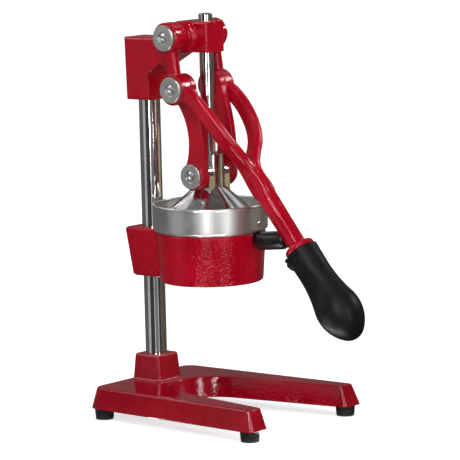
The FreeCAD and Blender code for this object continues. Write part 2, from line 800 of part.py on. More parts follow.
# funnel of two sheet pieces: a collar that hangs by its flange on the holder, and a cone below it
def make_funnel():
    shoulder = "holder_top - funnel_straight"
    neck = f"{shoulder} - funnel_cone"
    collar = turned("funnel_collar", [
        ("flange_r", "holder_top"), ("flange_r", "bowl_bottom"), ("funnel_r - sheet_t", "bowl_bottom"),
        ("funnel_r - sheet_t", shoulder), ("funnel_r", shoulder), ("funnel_r", "holder_top")])
    cut_notch(collar, "funnel_notch")
    turned("funnel", [
        ("funnel_r - sheet_t", shoulder), ("spout_r - sheet_t", neck),
        ("spout_tip_r - sheet_t", f"{neck} - spout"), ("spout_tip_r", f"{neck} - spout"),
        ("spout_r", f"{neck} - sheet_t / 2"), ("funnel_r", f"{shoulder} - sheet_t / 2"),
        ("funnel_r", shoulder)])


# strainer bowl: a straight band with a rolled rim, a step and a slotted dish
def make_bowl():
    body = turned("strainer_bowl", [
        ("0", "dish_floor"), ("dish_r", "dish_floor"), ("dish_r", "bowl_bottom"),
        ("bowl_r", "bowl_bottom"), ("bowl_r", "bowl_top"), ("bowl_r - sheet_t", "bowl_top"),
        ("bowl_r - sheet_t", "bowl_bottom + sheet_t"), ("dish_r - sheet_t", "bowl_bottom + sheet_t"),
        ("dish_r - sheet_t", "dish_floor + sheet_t"), ("0", "dish_floor + sheet_t")])
    rim = new_sketch(body, "bowl_rim_profile", "XZ_Plane")
    circle(rim, "bowl_r - sheet_t / 2", "bowl_top - bowl_rim_r / 2", "2 * bowl_rim_r")
    spin(body, "bowl_rim", rim)
    bottom = amount("bowl_bottom")
    reach = amount("bowl_r") - near
    soften(body, "bowl_heel", "bowl_edge_r",
           lambda edge: level_at(edge, bottom) and span(edge).XMax > reach)
    slot = new_sketch(body, "strainer_slot", "XY_Plane", "dish_floor + sheet_t")
    start = "slot_end_r - slot_long + slot_w / 2"
    end = "slot_end_r - slot_w / 2"
    outline(slot, [(start, "-slot_w / 2"), (end, "-slot_w / 2"), (end, "slot_w / 2"), (start, "slot_w / 2")],
            {1: ("slot_w / 2 + arc_slack", 1), 3: ("slot_w / 2 + arc_slack", 1)})
    cut = pocket(body, "strainer_slot_cut", slot)
    ring_of(body, "strainer_slots", cut, "slot_count")
    hole = new_sketch(body, "rivet_hole", "XZ_Plane")
    circle(hole, "0", "rivet_z", "rivet_d + 2 * fit")
    pocket(body, "rivet_hole_cut", hole, back=True)
    put(body, angle="knob_turn")


# ridged dome that the fruit is pressed on
def dome(grow):
    return [(f"reamer_shoulder_r + {grow}", "reamer_floor + reamer_shoulder"),
            ("reamer_tip_r", f"reamer_floor + reamer_high - reamer_crown + {grow} / 2")]


def make_reamer():
    side = ("reamer_r", "reamer_floor")
    crown = ("0", "reamer_floor + reamer_high")
    body = turned("reamer_cone", [("0", "reamer_floor"), side, *dome("0"), crown],
                  {2: ("reamer_belly_r", 1), 3: (crown_radius("reamer_tip_r", "reamer_crown"), 1)})
    rib = new_sketch(body, "ridge_profile", "XZ_Plane")
    inner = "reamer_tip_r / 2"
    outline(rib, [(inner, "reamer_floor"), side, ("reamer_r + ridge_rise / 2", "reamer_floor + ridge_foot"),
                  *dome("ridge_rise"), (inner, "reamer_floor + reamer_high - ridge_sink")],
            {3: ("reamer_belly_r", 1)})
    ridge = pad(body, "ridge", rib, "ridge_w", both=True)
    ring_of(body, "ridges", ridge, "ridge_count")


# black knob that lifts the strainer bowl out of the notch in the holder
def make_strainer_handle():
    knob = turned("strainer_handle", [
        ("0", "0"), ("knob_neck_r", "0"), ("knob_neck_r", "knob_neck"),
        ("knob_r", "knob_neck + knob_swell"), ("knob_r", "knob_long - knob_end_r"),
        ("knob_r - knob_end_r", "knob_long"), ("0", "knob_long")],
        {2: ("knob_swell_r", 1), 4: ("knob_end_r", 1)})
    across = (amount("cos(knob_turn)"), amount("sin(knob_turn)"), 0)
    put(knob, "dish_r * sin(knob_turn)", "-dish_r * cos(knob_turn)", "knob_z", across, "90")
    rivet = turned("handle_rivet", [
        ("0", "-sheet_t - rivet_tail"), ("rivet_d / 2", "-sheet_t - rivet_tail"), ("rivet_d / 2", "0"),
        ("rivet_head_d / 2", "0"), ("0", "rivet_head")],
        {3: (crown_radius("rivet_head_d / 2", "rivet_head"), 1)})
    put(rivet, "bowl_r * sin(knob_turn)", "-bowl_r * cos(knob_turn)", "rivet_z", across, "90")


# head casting: clamps the column, guides the press rod and carries the lever
def make_head():
    body = new_body("head_casting")
    side = new_sketch(body, "head_side", "YZ_Plane")
    outline(side, [
        ("-head_front", "head_under"), ("lever_pivot_y + head_slope", "head_under"),
        ("head_throat_y", "head_throat_z"), ("head_throat_y", "head_bottom"),
        ("head_foot_y", "head_bottom"), ("head_rear_y", "head_top - head_step_r"),
        ("head_step_y + head_step_r", "head_top - head_step_r"), ("head_step_y", "head_top"),
        ("-head_front", "head_top")], {6: ("head_step_r + arc_slack", 1)})
    pad(body, "head_block", side, "2 * head_half_rear", both=True)
    for name, way in sides:
        plan = new_sketch(body, "head_taper_" + name, "XY_Plane", "head_top + cut_over")
        outer = f"{way} * (head_half_rear + cut_over)"
        corners = [(f"{way} * head_half_front", "-head_front - cut_over"), (outer, "-head_front - cut_over"),
                   (outer, "head_rear_y"), (f"{way} * head_half_rear", "head_rear_y")]
        outline(plan, corners)
        pocket(body, "head_flank_" + name, plan)
    throat = (amount("head_throat_y"), amount("head_throat_z"))
    half = amount("head_half_front")
    soften(body, "head_throat", "head_throat_r",
           lambda edge: span(edge).XLength > half and abs(span(edge).YMin - throat[0]) < near
           and abs(span(edge).ZMin - throat[1]) < near)
    soften(body, "head_edges", "head_edge_r", lambda edge: abs(span(edge).Center.x) > half / 2)
    boss = new_sketch(body, "head_boss_face", "YZ_Plane")
    circle(boss, "lever_pivot_y", "lever_pivot_z", "head_boss_d")
    pad(body, "head_boss", boss, "2 * head_boss_half", both=True)
    # a hollow leads from the barrel to the arm's flank, between the arm's top and underside
    barrel = "head_boss_d / 2"
    inner, rim = f"{barrel} - head_edge_r", f"{barrel} + head_fair_r"
    for name, way in sides:
        fairing = new_sketch(body, "head_fairing_" + name, "XY_Plane", "lever_pivot_z")
        fairing.AttachmentOffset = FreeCAD.Placement(
            FreeCAD.Vector(0, 0, amount("lever_pivot_z")), FreeCAD.Rotation(FreeCAD.Vector(0, 0, 1), -90))
        fairing.setExpression("AttachmentOffset.Base.y", formula("lever_pivot_y"))
        toe, heel = f"{way} * head_fair_x", f"{way} * (head_fair_x + head_fair_r)"
        outline(fairing, [(inner, "0"), (rim, "0"), (rim, toe), (barrel, heel), (inner, heel)],
                {2: ("head_fair_r + arc_slack", way)})
        spin(body, "head_fair_" + name, fairing, "180")
    trims = (("head_fair_top", "head_top", True), ("head_fair_under", "head_under", False))
    for name, height, back in trims:
        trim = new_sketch(body, name + "_face", "XY_Plane", height)
        rectangle(trim, "2 * head_boss_half", "-head_front", "lever_pivot_y")
        pocket(body, name, trim, "head_boss_d", back=back)
    pin = new_sketch(body, "lever_pin_face", "YZ_Plane")
    circle(pin, "lever_pivot_y", "lever_pivot_z", "lever_pin_d + 2 * fit")
    pocket(body, "lever_pin_bore", pin, "2 * (head_boss_half + cut_over)", both=True)
    rod = new_sketch(body, "rod_face", "XY_Plane", "head_top + cut_over")
    circle(rod, "0", "0", "rod_d + 2 * fit")
    pocket(body, "rod_bore", rod)
    socket = new_sketch(body, "head_socket", "XY_Plane", "head_bottom")
    circle(socket, "0", "column_y", "column_d + 2 * fit")
    pocket(body, "head_column_bore", socket, "head_socket_top - head_bottom", back=True)
    middle = "(head_bottom + head_socket_top) / 2"
    cut_set_screw_hole(body, "head_screw_hole", middle)
    make_set_screw("head_set_screw", middle, "head_foot_y")


# pivot pins lie along X; every outer end takes the screw of a cap
def pin_profile(diameter, start, end, hole_low, hole_high):
    inner = "cap_screw_d / 2 + fit"
    deep = "(cap_screw_long + tip_room)"
    low = [(inner, f"{start} + {deep}"), (inner, start)] if hole_low else [("0", start)]
    high = [("0", end)]
    if hole_high:
        high = [(inner, end), (inner, f"{end} - {deep}"), ("0", f"{end} - {deep}")]
    first = [("0", f"{start} + {deep}")] if hole_low else []
    return first + low + [(f"{diameter} / 2", start), (f"{diameter} / 2", end)] + high


def side_turn(way):
    return {"axis": (0, 1, 0), "angle": str(90 * way)}


def make_cap(name, way, x, y, z, diameter, thick):
    floor = "cap_floor"
    cap = turned(name + "_cap", [
        ("cap_screw_d / 2 + fit", "0"), (f"{diameter} / 2", "0"),
        (f"{diameter} / 2", f"{thick} - cap_chamfer"), (f"{diameter} / 2 - cap_chamfer", thick),
        ("cap_bore_d / 2", thick), ("cap_bore_d / 2", floor), ("cap_screw_d / 2 + fit", floor)])
    put(cap, f"{way} * {x}", y, z, **side_turn(way))
    shank = f"{floor} - cap_screw_long"
    screw = turned(name + "_screw", [
        ("0", shank), ("cap_screw_d / 2", shank), ("cap_screw_d / 2", floor),
        ("cap_screw_head_d / 2", floor), ("cap_screw_head_d / 2", f"{floor} + cap_screw_head / 2"),
        ("0", f"{floor} + cap_screw_head")],
        {4: (crown_radius("cap_screw_head_d / 2", "cap_screw_head / 2"), 1)})
    key = new_sketch(screw, name + "_key", "XY_Plane", f"{floor} + cap_screw_head")
    hexagon(key, "cap_key")
    pocket(screw, name + "_socket", key, "cap_key_deep")
    put(screw, f"{way} * {x}", y, z, **side_turn(way))


def make_pivots():
    pin = turned("lever_pin", pin_profile("lever_pin_d", "-cap_seat", "cap_seat", True, True))
    put(pin, "0", "lever_pivot_y", "lever_pivot_z", **side_turn(1))
    for name, way in sides:
        make_cap("lever_" + name, way, "cap_seat", "lever_pivot_y", "lever_pivot_z", "cap_d", "cap_t")
        make_cap("upper_" + name, way, "lever_outer", "upper_pivot_y", "upper_pivot_z", "cap_d", "cap_t")
        make_cap("lower_" + name, way, "low_cap_seat", "0", "lower_pivot_z", "low_cap_d", "low_cap_t")
        outer = turned("upper_" + name + "_pin",
                       pin_profile("upper_pin_d", "lever_inner", "lever_outer", False, True))
        stub = turned("link_" + name + "_stub",
                      pin_profile("upper_pin_d", "link_inner", "link_outer", False, False))
        for piece in (outer, stub):
            put(piece, "0", "upper_pivot_y", "upper_pivot_z", **side_turn(way))
        low = turned("lower_" + name + "_pin",
                     pin_profile("lower_pin_d", "lug_pin_x", "low_cap_seat", False, True))
        put(low, "0", "0", "lower_pivot_z", **side_turn(way))


# the lever is drawn in its own frame: Z runs down the stem from the upper pivot,
# Y points up and forward off the stem, X lies along the pivots
def section(body, name, spot, run, deep):
    across = FreeCAD.Vector(1, 0, 0)
    up = run.cross(across).normalize()
    turn = FreeCAD.Rotation(up.cross(run), up, run, "ZYX")
    sketch = new_sketch(body, name, "XY_Plane")
    sketch.AttachmentOffset = FreeCAD.Placement(FreeCAD.Vector(*map(amount, spot)), turn)
    for axis, place in zip("xyz", spot):
        sketch.setExpression("AttachmentOffset.Base." + axis, formula(place))
    x, y, corner = "arm_w / 2", f"{deep} / 2", "arm_corner_r"
    outline(sketch, [
        (f"-{x} + {corner}", f"-{y}"), (f"{x} - {corner}", f"-{y}"), (x, f"-{y} + {corner}"),
        (x, f"{y} - {corner}"), (f"{x} - {corner}", y), (f"-{x} + {corner}", y),
        (f"-{x}", f"{y} - {corner}"), (f"-{x}", f"-{y} + {corner}")],
        {edge: (corner, 1) for edge in (1, 3, 5, 7)})
    return sketch


# middle of one fork arm: leaves the eye, arches forward and closes in on the stem
arm_stations = [
    ("lever_mid", "0", "0"), ("lever_mid - arm_lean", "arm_rise", "arm_rise_run"),
    ("lever_mid - arm_bend_in", "arm_arch", "arm_bend_u"), ("arm_close_x", "arm_close_rise", "arm_close_u"),
    ("arm_meet_x", "arm_meet_rise", "arm_meet_u"), ("arm_root_x", "0", "arm_root_u"),
    ("arm_tail_x", "0", "arm_tail_u"),
]


def make_arm(body, name, way):
    spots = [(f"{way} * ({x})", h, u) for x, h, u in arm_stations]
    path = [FreeCAD.Vector(*map(amount, spot)) for spot in spots]
    runs = [path[1] - path[0]]
    runs += [after - before for before, after in zip(path, path[2:])]
    runs += [FreeCAD.Vector(0, 0, 1)]
    deeps = ["arm_deep"] * (len(path) - 2) + ["arm_root_deep", "arm_tail_deep"]
    sections = [section(body, f"arm_{name}_{k}", spot, run.normalize(), deep)
                for k, (spot, run, deep) in enumerate(zip(spots, runs, deeps))]
    loft(body, "arm_" + name, sections, ruled=False)


def make_lever():
    body = new_body("lever_casting")
    for name, way in sides:
        eyes = new_sketch(body, "lever_eyes_" + name, "YZ_Plane", f"{way} * lever_inner")
        circle(eyes, "0", "0", "lever_eye_d")
        circle(eyes, "pivot_h", "pivot_u", "lever_eye_d")
        pad(body, "lever_eye_pads_" + name, eyes, "lever_eye_t", back=way < 0)
        bar = new_sketch(body, "lever_bar_" + name, "YZ_Plane",
                         f"{way} * (lever_inner + lever_bar_inset)")
        long = "sqrt(pivot_h ^ 2 + pivot_u ^ 2)"
        over_h = f"lever_bar_w / 2 * pivot_u / {long}"
        over_u = f"lever_bar_w / 2 * pivot_h / {long}"
        outline(bar, [(over_h, f"-{over_u}"), (f"-{over_h}", over_u),
                      (f"pivot_h - {over_h}", f"pivot_u + {over_u}"),
                      (f"pivot_h + {over_h}", f"pivot_u - {over_u}")])
        pad(body, "lever_bar_pad_" + name, bar, "lever_eye_t - 2 * lever_bar_inset", back=way < 0)
    doc.recompute()
    along = FreeCAD.Vector(0, amount("pivot_h"), amount("pivot_u")).normalize()

    def bar_edge(edge):
        if len(edge.Vertexes) != 2 or edge.Curve.TypeId != "Part::GeomLine":
            return False
        run = edge.Vertexes[1].Point - edge.Vertexes[0].Point
        return abs(run.normalize().dot(along)) > 0.999

    soften(body, "lever_bar_rounding", "lever_bar_r", bar_edge)
    stations = [("arm_root_u - stem_lead", "stem_tip_d"), ("arm_root_u", "stem_neck_d"),
                ("arm_tail_u", "stem_top_d"), ("collar_u", "stem_low_d")]
    sketches = []
    for number, (along_u, diameter) in enumerate(stations):
        ring = new_sketch(body, f"stem_{number}", "XY_Plane", along_u)
        circle(ring, "0", "0", diameter)
        sketches.append(ring)
    loft(body, "stem", sketches)
    for name, way in sides:
        make_arm(body, name, way)
    collar = new_sketch(body, "collar_face", "XY_Plane", "collar_u")
    circle(collar, "0", "0", "collar_d")
    pad(body, "collar", collar, "collar_t")
    reach = amount("collar_d / 2") - near
    after = amount("collar_u") - near
    soften(body, "collar_rounding", "collar_r",
           lambda edge: span(edge).ZMin > after and span(edge).XMax > reach)
    tang = new_sketch(body, "tang_face", "XY_Plane", "collar_end_u")
    circle(tang, "0", "0", "tang_d")
    pad(body, "tang", tang, "tang_long")
    for name, way in sides:
        bores = new_sketch(body, "lever_bores_" + name, "YZ_Plane", f"{way} * (lever_outer + cut_over)")
        circle(bores, "0", "0", "upper_pin_d + 2 * fit")
        circle(bores, "pivot_h", "pivot_u", "lever_pin_d + 2 * fit")
        pocket(body, "lever_bore_cut_" + name, bores, "lever_eye_t + 2 * cut_over", back=way < 0)
    put(body, "0", "upper_pivot_y", "upper_pivot_z", (1, 0, 0), "90 + lever_drop")


def make_grip():
    grip = turned("handle_grip", [
        ("tang_d / 2 + fit", "0"), ("grip_start_r", "0"), ("grip_neck_r", "grip_neck_u"),
        ("grip_swell_r", "grip_swell_u"), ("grip_end_r", "grip_end_u"), ("0", "grip_long"),
        ("0", "tang_long + tip_room"), ("tang_d / 2 + fit", "tang_long + tip_room")],
        {2: ("grip_waist_curve", -1), 3: ("grip_bulb_curve", 1),
         4: (crown_radius("grip_end_r", "grip_long - grip_end_u"), 1)})
    guard = new_sketch(grip, "guard_profile", "YZ_Plane")
    root = "-grip_neck_r + guard_sink"
    outline(guard, [(root, "guard_start"), (root, "guard_slope"), ("-grip_neck_r", "guard_slope"),
                    ("-guard_r", "guard_t"), ("-guard_r + guard_start", "guard_start")],
            {2: ("guard_slope", 1), 3: ("guard_t / 2 + guard_start", -1)})
    spin(grip, "guard", guard, "guard_arc")
    place_y = "upper_pivot_y - collar_end_u * cos(lever_drop)"
    place_z = "upper_pivot_z - collar_end_u * sin(lever_drop)"
    put(grip, "0", place_y, place_z, (1, 0, 0), "90 + lever_drop")


# flat cranked links between the lever and the press cup
def make_links():
    eye = "link_eye_d / 2"
    low_eye = "link_low_eye_d / 2"
    root = f"({eye} - link_root)"
    low_root = f"({low_eye} - link_root)"
    for name, way in sides:
        body = new_body("link_" + name)
        shift = f"{way} * link_inner"
        eyes = new_sketch(body, f"link_{name}_eyes", "YZ_Plane", shift)
        circle(eyes, "upper_pivot_y", "upper_pivot_z", "link_eye_d")
        circle(eyes, "0", "lower_pivot_z", "link_low_eye_d")
        pad(body, f"link_{name}_rings", eyes, "link_t", back=way < 0)
        face = way * amount("link_outer")
        soften(body, f"link_{name}_ring_edges", "link_edge_r",
               lambda edge: abs(span(edge).Center.x - face) < near)
        levels = [("link_inner", "0"), ("link_outer - link_edge_r", "0"), ("link_outer", "link_edge_r")]
        sections = []
        for number, (depth, inset) in enumerate(levels):
            web = new_sketch(body, f"link_{name}_web_{number}", "YZ_Plane", f"{way} * ({depth})")
            outline(web, [
                (f"-{low_eye} + {inset}", "lower_pivot_z"),
                (f"{low_root} * cos(link_low_root_angle) - {inset}",
                 f"lower_pivot_z + {low_root} * sin(link_low_root_angle)"),
                (f"upper_pivot_y + {root} * cos(link_top_root_angle) - {inset}",
                 f"upper_pivot_z - {root} * sin(link_top_root_angle)"),
                (f"upper_pivot_y - {eye} + {inset}", "upper_pivot_z")],
                {1: ("link_rear_r", -1), 3: ("link_front_r", 1)})
            sections.append(web)
        loft(body, f"link_{name}_web", sections)
        boss = new_sketch(body, f"link_{name}_boss_face", "YZ_Plane", shift)
        circle(boss, "0", "lower_pivot_z", "link_low_eye_d")
        pad(body, f"link_{name}_boss", boss, "link_boss", back=way > 0)
        bores = new_sketch(body, f"link_{name}_bores", "YZ_Plane", f"{way} * (link_outer + cut_over)")
        circle(bores, "upper_pivot_y", "upper_pivot_z", "upper_pin_d + 2 * fit")
        circle(bores, "0", "lower_pivot_z", "lower_pin_d + 2 * fit")
        pocket(body, f"link_{name}_bore_cut", bores, "link_t + link_boss + 2 * cut_over", back=way < 0)


# sliding press rod and the cup on its lower end
def make_press():
    turned("press_rod", [
        ("0", "hub_top - rod_tail"), ("rod_tail_d / 2", "hub_top - rod_tail"), ("rod_tail_d / 2", "hub_top"),
        ("rod_d / 2", "hub_top"), ("rod_d / 2", "rod_top - rod_chamfer"),
        ("rod_d / 2 - rod_chamfer", "rod_top"), ("0", "rod_top")])
    lip = "cup_rim_z - cup_lip"
    cup = turned("press_cup", [
        ("0", lip), ("cup_rim_r", lip), ("cup_rim_r", "cup_rim_z"), ("hub_d / 2", "cup_neck_z"),
        ("hub_d / 2", "hub_top"), ("0", "hub_top")])
    lug = new_sketch(cup, "lug_side", "YZ_Plane")
    corner = "sqrt(lug_half_x ^ 2 + lug_half_y ^ 2)"
    lug_floor = f"cup_neck_z - ({corner} - hub_d / 2) * cup_slope - lug_sink"
    outline(lug, [("-lug_half_y", lug_floor), ("lug_half_y", lug_floor),
                  ("lug_half_y", "lower_pivot_z"), ("-lug_half_y", "lower_pivot_z")],
            {2: ("lug_half_y + arc_slack", 1)})
    pad(cup, "lugs", lug, "2 * lug_half_x", both=True)
    hollow = new_sketch(cup, "cup_hollow_profile", "XZ_Plane")
    inside = "cup_rim_r - cup_wall"
    crown = "cup_rim_z - cup_wall + (cup_rim_r - cup_crown_r) * cup_slope"
    outline(hollow, [("0", f"{lip} - cut_over"), (inside, f"{lip} - cut_over"),
                     (inside, "cup_rim_z - cup_wall + cup_wall * cup_slope"),
                     ("cup_crown_r", crown), ("0", crown)])
    groove(cup, "cup_hollow", hollow)
    tail = new_sketch(cup, "tail_face", "XY_Plane", "hub_top")
    circle(tail, "0", "0", "rod_tail_d + 2 * fit")
    pocket(cup, "tail_bore", tail, "rod_tail")
    for name, way in sides:
        face = new_sketch(cup, "lug_face_" + name, "YZ_Plane", f"{way} * lug_half_x")
        circle(face, "0", "lower_pivot_z", "link_low_eye_d + 2 * play")
        pocket(cup, "lug_face_cut_" + name, face, "link_boss + link_t", back=way > 0)
        seat = new_sketch(cup, "lug_bore_" + name, "YZ_Plane", f"{way} * (lug_half_x + cut_over)")
        circle(seat, "0", "lower_pivot_z", "lower_pin_d + 2 * fit")
        pocket(cup, "lug_bore_cut_" + name, seat, "lug_pin_bite + cut_over", back=way < 0)


def write_parts():
    doc.recompute()
    failed = [item.Label for item in doc.Objects if {"Invalid", "Error"} & set(item.State)]
    failed += [body.Label for body in sub_parts if body.Shape.isNull() or not body.Shape.isValid()]
    if failed:
        raise RuntimeError("failed: " + ", ".join(failed))
    os.makedirs("parts", exist_ok=True)
    for body in sub_parts:
        body.Shape.exportStep(f"parts/{body.Label}.step")
    print("wrote", len(sub_parts), "parts")


make_base()
make_feet()
make_column()
make_holder()
make_funnel()
make_bowl()
make_reamer()
make_strainer_handle()
make_head()
make_pivots()
make_lever()
make_grip()
make_links()
make_press()
write_parts()
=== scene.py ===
import json
import math

import bpy
from mathutils import Matrix, Vector


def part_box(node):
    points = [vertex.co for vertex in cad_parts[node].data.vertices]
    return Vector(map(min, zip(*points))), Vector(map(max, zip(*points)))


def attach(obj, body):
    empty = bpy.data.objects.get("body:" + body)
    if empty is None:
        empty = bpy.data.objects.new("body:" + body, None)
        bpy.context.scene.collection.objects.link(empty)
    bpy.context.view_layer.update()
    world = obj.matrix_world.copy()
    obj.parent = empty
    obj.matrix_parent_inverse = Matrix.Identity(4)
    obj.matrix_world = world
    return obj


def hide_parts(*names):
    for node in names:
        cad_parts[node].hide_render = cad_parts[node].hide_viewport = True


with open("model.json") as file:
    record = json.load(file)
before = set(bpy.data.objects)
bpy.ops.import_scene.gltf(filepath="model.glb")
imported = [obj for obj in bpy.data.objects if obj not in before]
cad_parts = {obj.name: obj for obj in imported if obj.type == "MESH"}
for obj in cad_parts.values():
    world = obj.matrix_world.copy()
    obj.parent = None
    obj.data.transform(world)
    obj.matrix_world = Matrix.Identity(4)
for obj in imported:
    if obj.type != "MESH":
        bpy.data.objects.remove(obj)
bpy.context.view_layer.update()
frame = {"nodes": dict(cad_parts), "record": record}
nodes = frame["nodes"]
slotOfNode = {row["node"]: row["material_slot"] for row in frame["record"]["subparts"]}
print("frame loaded:", len(nodes), "pieces")


# small helpers for node trees
def addNode(tree, kind, **settings):
    made = tree.nodes.new(kind)
    for name, value in settings.items():
        setattr(made, name, value)
    return made


# a number or a colour is set on the socket itself, an output is joined to it
def feed(tree, value, socket):
    if isinstance(value, (int, float)):
        socket.default_value = value
    elif isinstance(value, tuple):
        socket.default_value = (*value, 1.0)
    else:
        tree.links.new(value, socket)


def newGroup(name, inputs, outputs):
    group = bpy.data.node_groups.new(name, "ShaderNodeTree")
    for label, kind, value in inputs:
        socket = group.interface.new_socket(label, in_out="INPUT", socket_type=kind)
        socket.default_value = value
    for label, kind in outputs:
        group.interface.new_socket(label, in_out="OUTPUT", socket_type=kind)
    return group, addNode(group, "NodeGroupInput"), addNode(group, "NodeGroupOutput")


def maths(tree, operation, *values):
    made = addNode(tree, "ShaderNodeMath", operation=operation)
    for socket, value in zip(made.inputs, values):
        feed(tree, value, socket)
    return made.outputs[0]


def vectorMaths(tree, operation, *values):
    made = addNode(tree, "ShaderNodeVectorMath", operation=operation)
    for socket, value in zip(made.inputs, values):
        feed(tree, value, socket)
    return made


def noiseAt(tree, where, scale, detail=2.0, roughness=0.5, distortion=0.0):
    made = addNode(tree, "ShaderNodeTexNoise")
    wanted = {"Vector": where, "Scale": scale, "Detail": detail, "Roughness": roughness,
              "Distortion": distortion}
    for label, value in wanted.items():
        feed(tree, value, made.inputs[label])
    return made.outputs["Fac"]


def spread(tree, value, low, high, newLow=0.0, newHigh=1.0):
    made = addNode(tree, "ShaderNodeMapRange", interpolation_type="SMOOTHSTEP")
    wanted = {"Value": value, "From Min": low, "From Max": high, "To Min": newLow, "To Max": newHigh}
    for label, number in wanted.items():
        feed(tree, number, made.inputs[label])
    return made.outputs["Result"]


def blendColours(tree, amount, first, second):
    made = addNode(tree, "ShaderNodeMix", data_type="RGBA")
    feed(tree, amount, made.inputs["Factor"])
    for place, value in ((6, first), (7, second)):  # the two colour sockets
        feed(tree, value, made.inputs[place])
    return made.outputs[2]


def objectSpot(tree):
    return addNode(tree, "ShaderNodeTexCoord").outputs["Object"]


skinRanges = {"lumpDetail": 1.6, "patchScale": 26.0, "patch": (0.36, 0.66), "crest": (0.36, 0.62),
              "pits": (0.62, 0.74)}


# lumpy skin of poured iron under thick enamel: height, crests of the lumps, large patches and fine pits
def buildCastSkin():
    group, given, put = newGroup(
        "castSkin",
        [("Lump Scale", "NodeSocketFloat", 300.0), ("Pit Scale", "NodeSocketFloat", 900.0),
         ("Stretch", "NodeSocketVector", (1, 1, 1)), ("Calm", "NodeSocketFloat", 0.4)],
        [("Height", "NodeSocketFloat"), ("Crest", "NodeSocketFloat"), ("Patch", "NodeSocketFloat"),
         ("Pits", "NodeSocketFloat")])
    spot = objectSpot(group)
    squat = addNode(group, "ShaderNodeMapping")  # wrinkles can be longer than they are tall
    feed(group, spot, squat.inputs["Vector"])
    feed(group, given.outputs["Stretch"], squat.inputs["Scale"])
    lumps = noiseAt(group, squat.outputs["Vector"], given.outputs["Lump Scale"], skinRanges["lumpDetail"])
    patch = spread(group, noiseAt(group, spot, skinRanges["patchScale"]), *skinRanges["patch"])
    calm = given.outputs["Calm"]  # the share of the lumps that the quiet patches keep
    strength = maths(group, "MULTIPLY_ADD", patch, maths(group, "SUBTRACT", 1.0, calm), calm)
    pits = noiseAt(group, spot, given.outputs["Pit Scale"])
    feed(group, maths(group, "MULTIPLY", lumps, strength), put.inputs["Height"])
    feed(group, spread(group, lumps, *skinRanges["crest"]), put.inputs["Crest"])
    feed(group, patch, put.inputs["Patch"])
    feed(group, spread(group, pits, *skinRanges["pits"]), put.inputs["Pits"])
    return group


lineShape = {"arc": 0.02, "detail": 3.0, "lineRough": 0.6, "slowRough": 0.55}


# lines left by turning or brushing round an axis, and a slow variation over the surface
def buildTurnedLines():
    group, given, put = newGroup(
        "turnedLines",
        [("Centre", "NodeSocketVector", (0, 0, 0)), ("Axis", "NodeSocketVector", (0, 0, 1)),
         ("Line Scale", "NodeSocketFloat", 1500.0), ("Slow Scale", "NodeSocketFloat", 40.0)],
        [("Lines", "NodeSocketFloat"), ("Slow", "NodeSocketFloat")])
    spot = objectSpot(group)
    axis = given.outputs["Axis"]
    out = vectorMaths(group, "SUBTRACT", spot, given.outputs["Centre"]).outputs["Vector"]
    along = vectorMaths(group, "DOT_PRODUCT", out, axis).outputs["Value"]
    aside = vectorMaths(group, "CROSS_PRODUCT", out, axis).outputs["Vector"]
    ring = addNode(group, "ShaderNodeCombineXYZ")
    feed(group, vectorMaths(group, "LENGTH", aside).outputs["Value"], ring.inputs["X"])
    feed(group, along, ring.inputs["Y"])
    broken = vectorMaths(group, "SCALE", aside)  # short arcs, not full rings
    broken.inputs["Scale"].default_value = lineShape["arc"]
    where = vectorMaths(group, "ADD", ring.outputs["Vector"], broken.outputs["Vector"]).outputs["Vector"]
    lines = noiseAt(group, where, given.outputs["Line Scale"], lineShape["detail"], lineShape["lineRough"])
    slow = noiseAt(group, spot, given.outputs["Slow Scale"], lineShape["detail"], lineShape["slowRough"])
    feed(group, lines, put.inputs["Lines"])
    feed(group, slow, put.inputs["Slow"])
    return group


smearShape = {"detail": 4.0, "rough": 0.6, "wander": 0.6, "range": (0.4, 0.72)}


# handling marks: soft smears left by hands and cloths
def buildHandling():
    group, given, put = newGroup(
        "handling", [("Smear Scale", "NodeSocketFloat", 60.0)], [("Smears", "NodeSocketFloat")])
    smears = noiseAt(group, objectSpot(group), given.outputs["Smear Scale"], smearShape["detail"],
                     smearShape["rough"], smearShape["wander"])
    feed(group, spread(group, smears, *smearShape["range"]), put.inputs["Smears"])
    return group


edgeShape = {"samples": 6, "range": (0.01, 0.25)}


# edges seen through a small rounding, with a mask of where they are
def buildSoftEdge():
    group, given, put = newGroup(
        "softEdge", [("Radius", "NodeSocketFloat", 0.001)],
        [("Normal", "NodeSocketVector"), ("Edge", "NodeSocketFloat")])
    rounded = addNode(group, "ShaderNodeBevel", samples=edgeShape["samples"])
    feed(group, given.outputs["Radius"], rounded.inputs["Radius"])
    plain = addNode(group, "ShaderNodeNewGeometry").outputs["Normal"]
    likeness = vectorMaths(group, "DOT_PRODUCT", rounded.outputs["Normal"], plain).outputs["Value"]
    turned = maths(group, "SUBTRACT", 1.0, likeness)
    feed(group, rounded.outputs["Normal"], put.inputs["Normal"])
    feed(group, spread(group, turned, *edgeShape["range"]), put.inputs["Edge"])
    return group


castSkin = buildCastSkin()
turnedLines = buildTurnedLines()
handling = buildHandling()
softEdge = buildSoftEdge()
print("shared effects built")


# helpers for the finishes
def newMaterial(name, sockets):
    material = bpy.data.materials.new(name)
    material.use_nodes = True
    tree = material.node_tree
    shader = tree.nodes["Principled BSDF"]
    for label, value in sockets.items():
        shader.inputs[label].default_value = value
    return material, tree, shader


def placeGroup(tree, group, **values):
    made = addNode(tree, "ShaderNodeGroup", node_tree=group)
    for label, value in values.items():
        made.inputs[label.replace("_", " ")].default_value = value
    return made


def bumpFrom(tree, shader, height, look, edge):
    made = addNode(tree, "ShaderNodeBump")
    made.inputs["Strength"].default_value = look["bump"]
    made.inputs["Distance"].default_value = look["depth"]
    feed(tree, height, made.inputs["Height"])
    feed(tree, edge.outputs["Normal"], made.inputs["Normal"])
    feed(tree, made.outputs["Normal"], shader.inputs["Normal"])


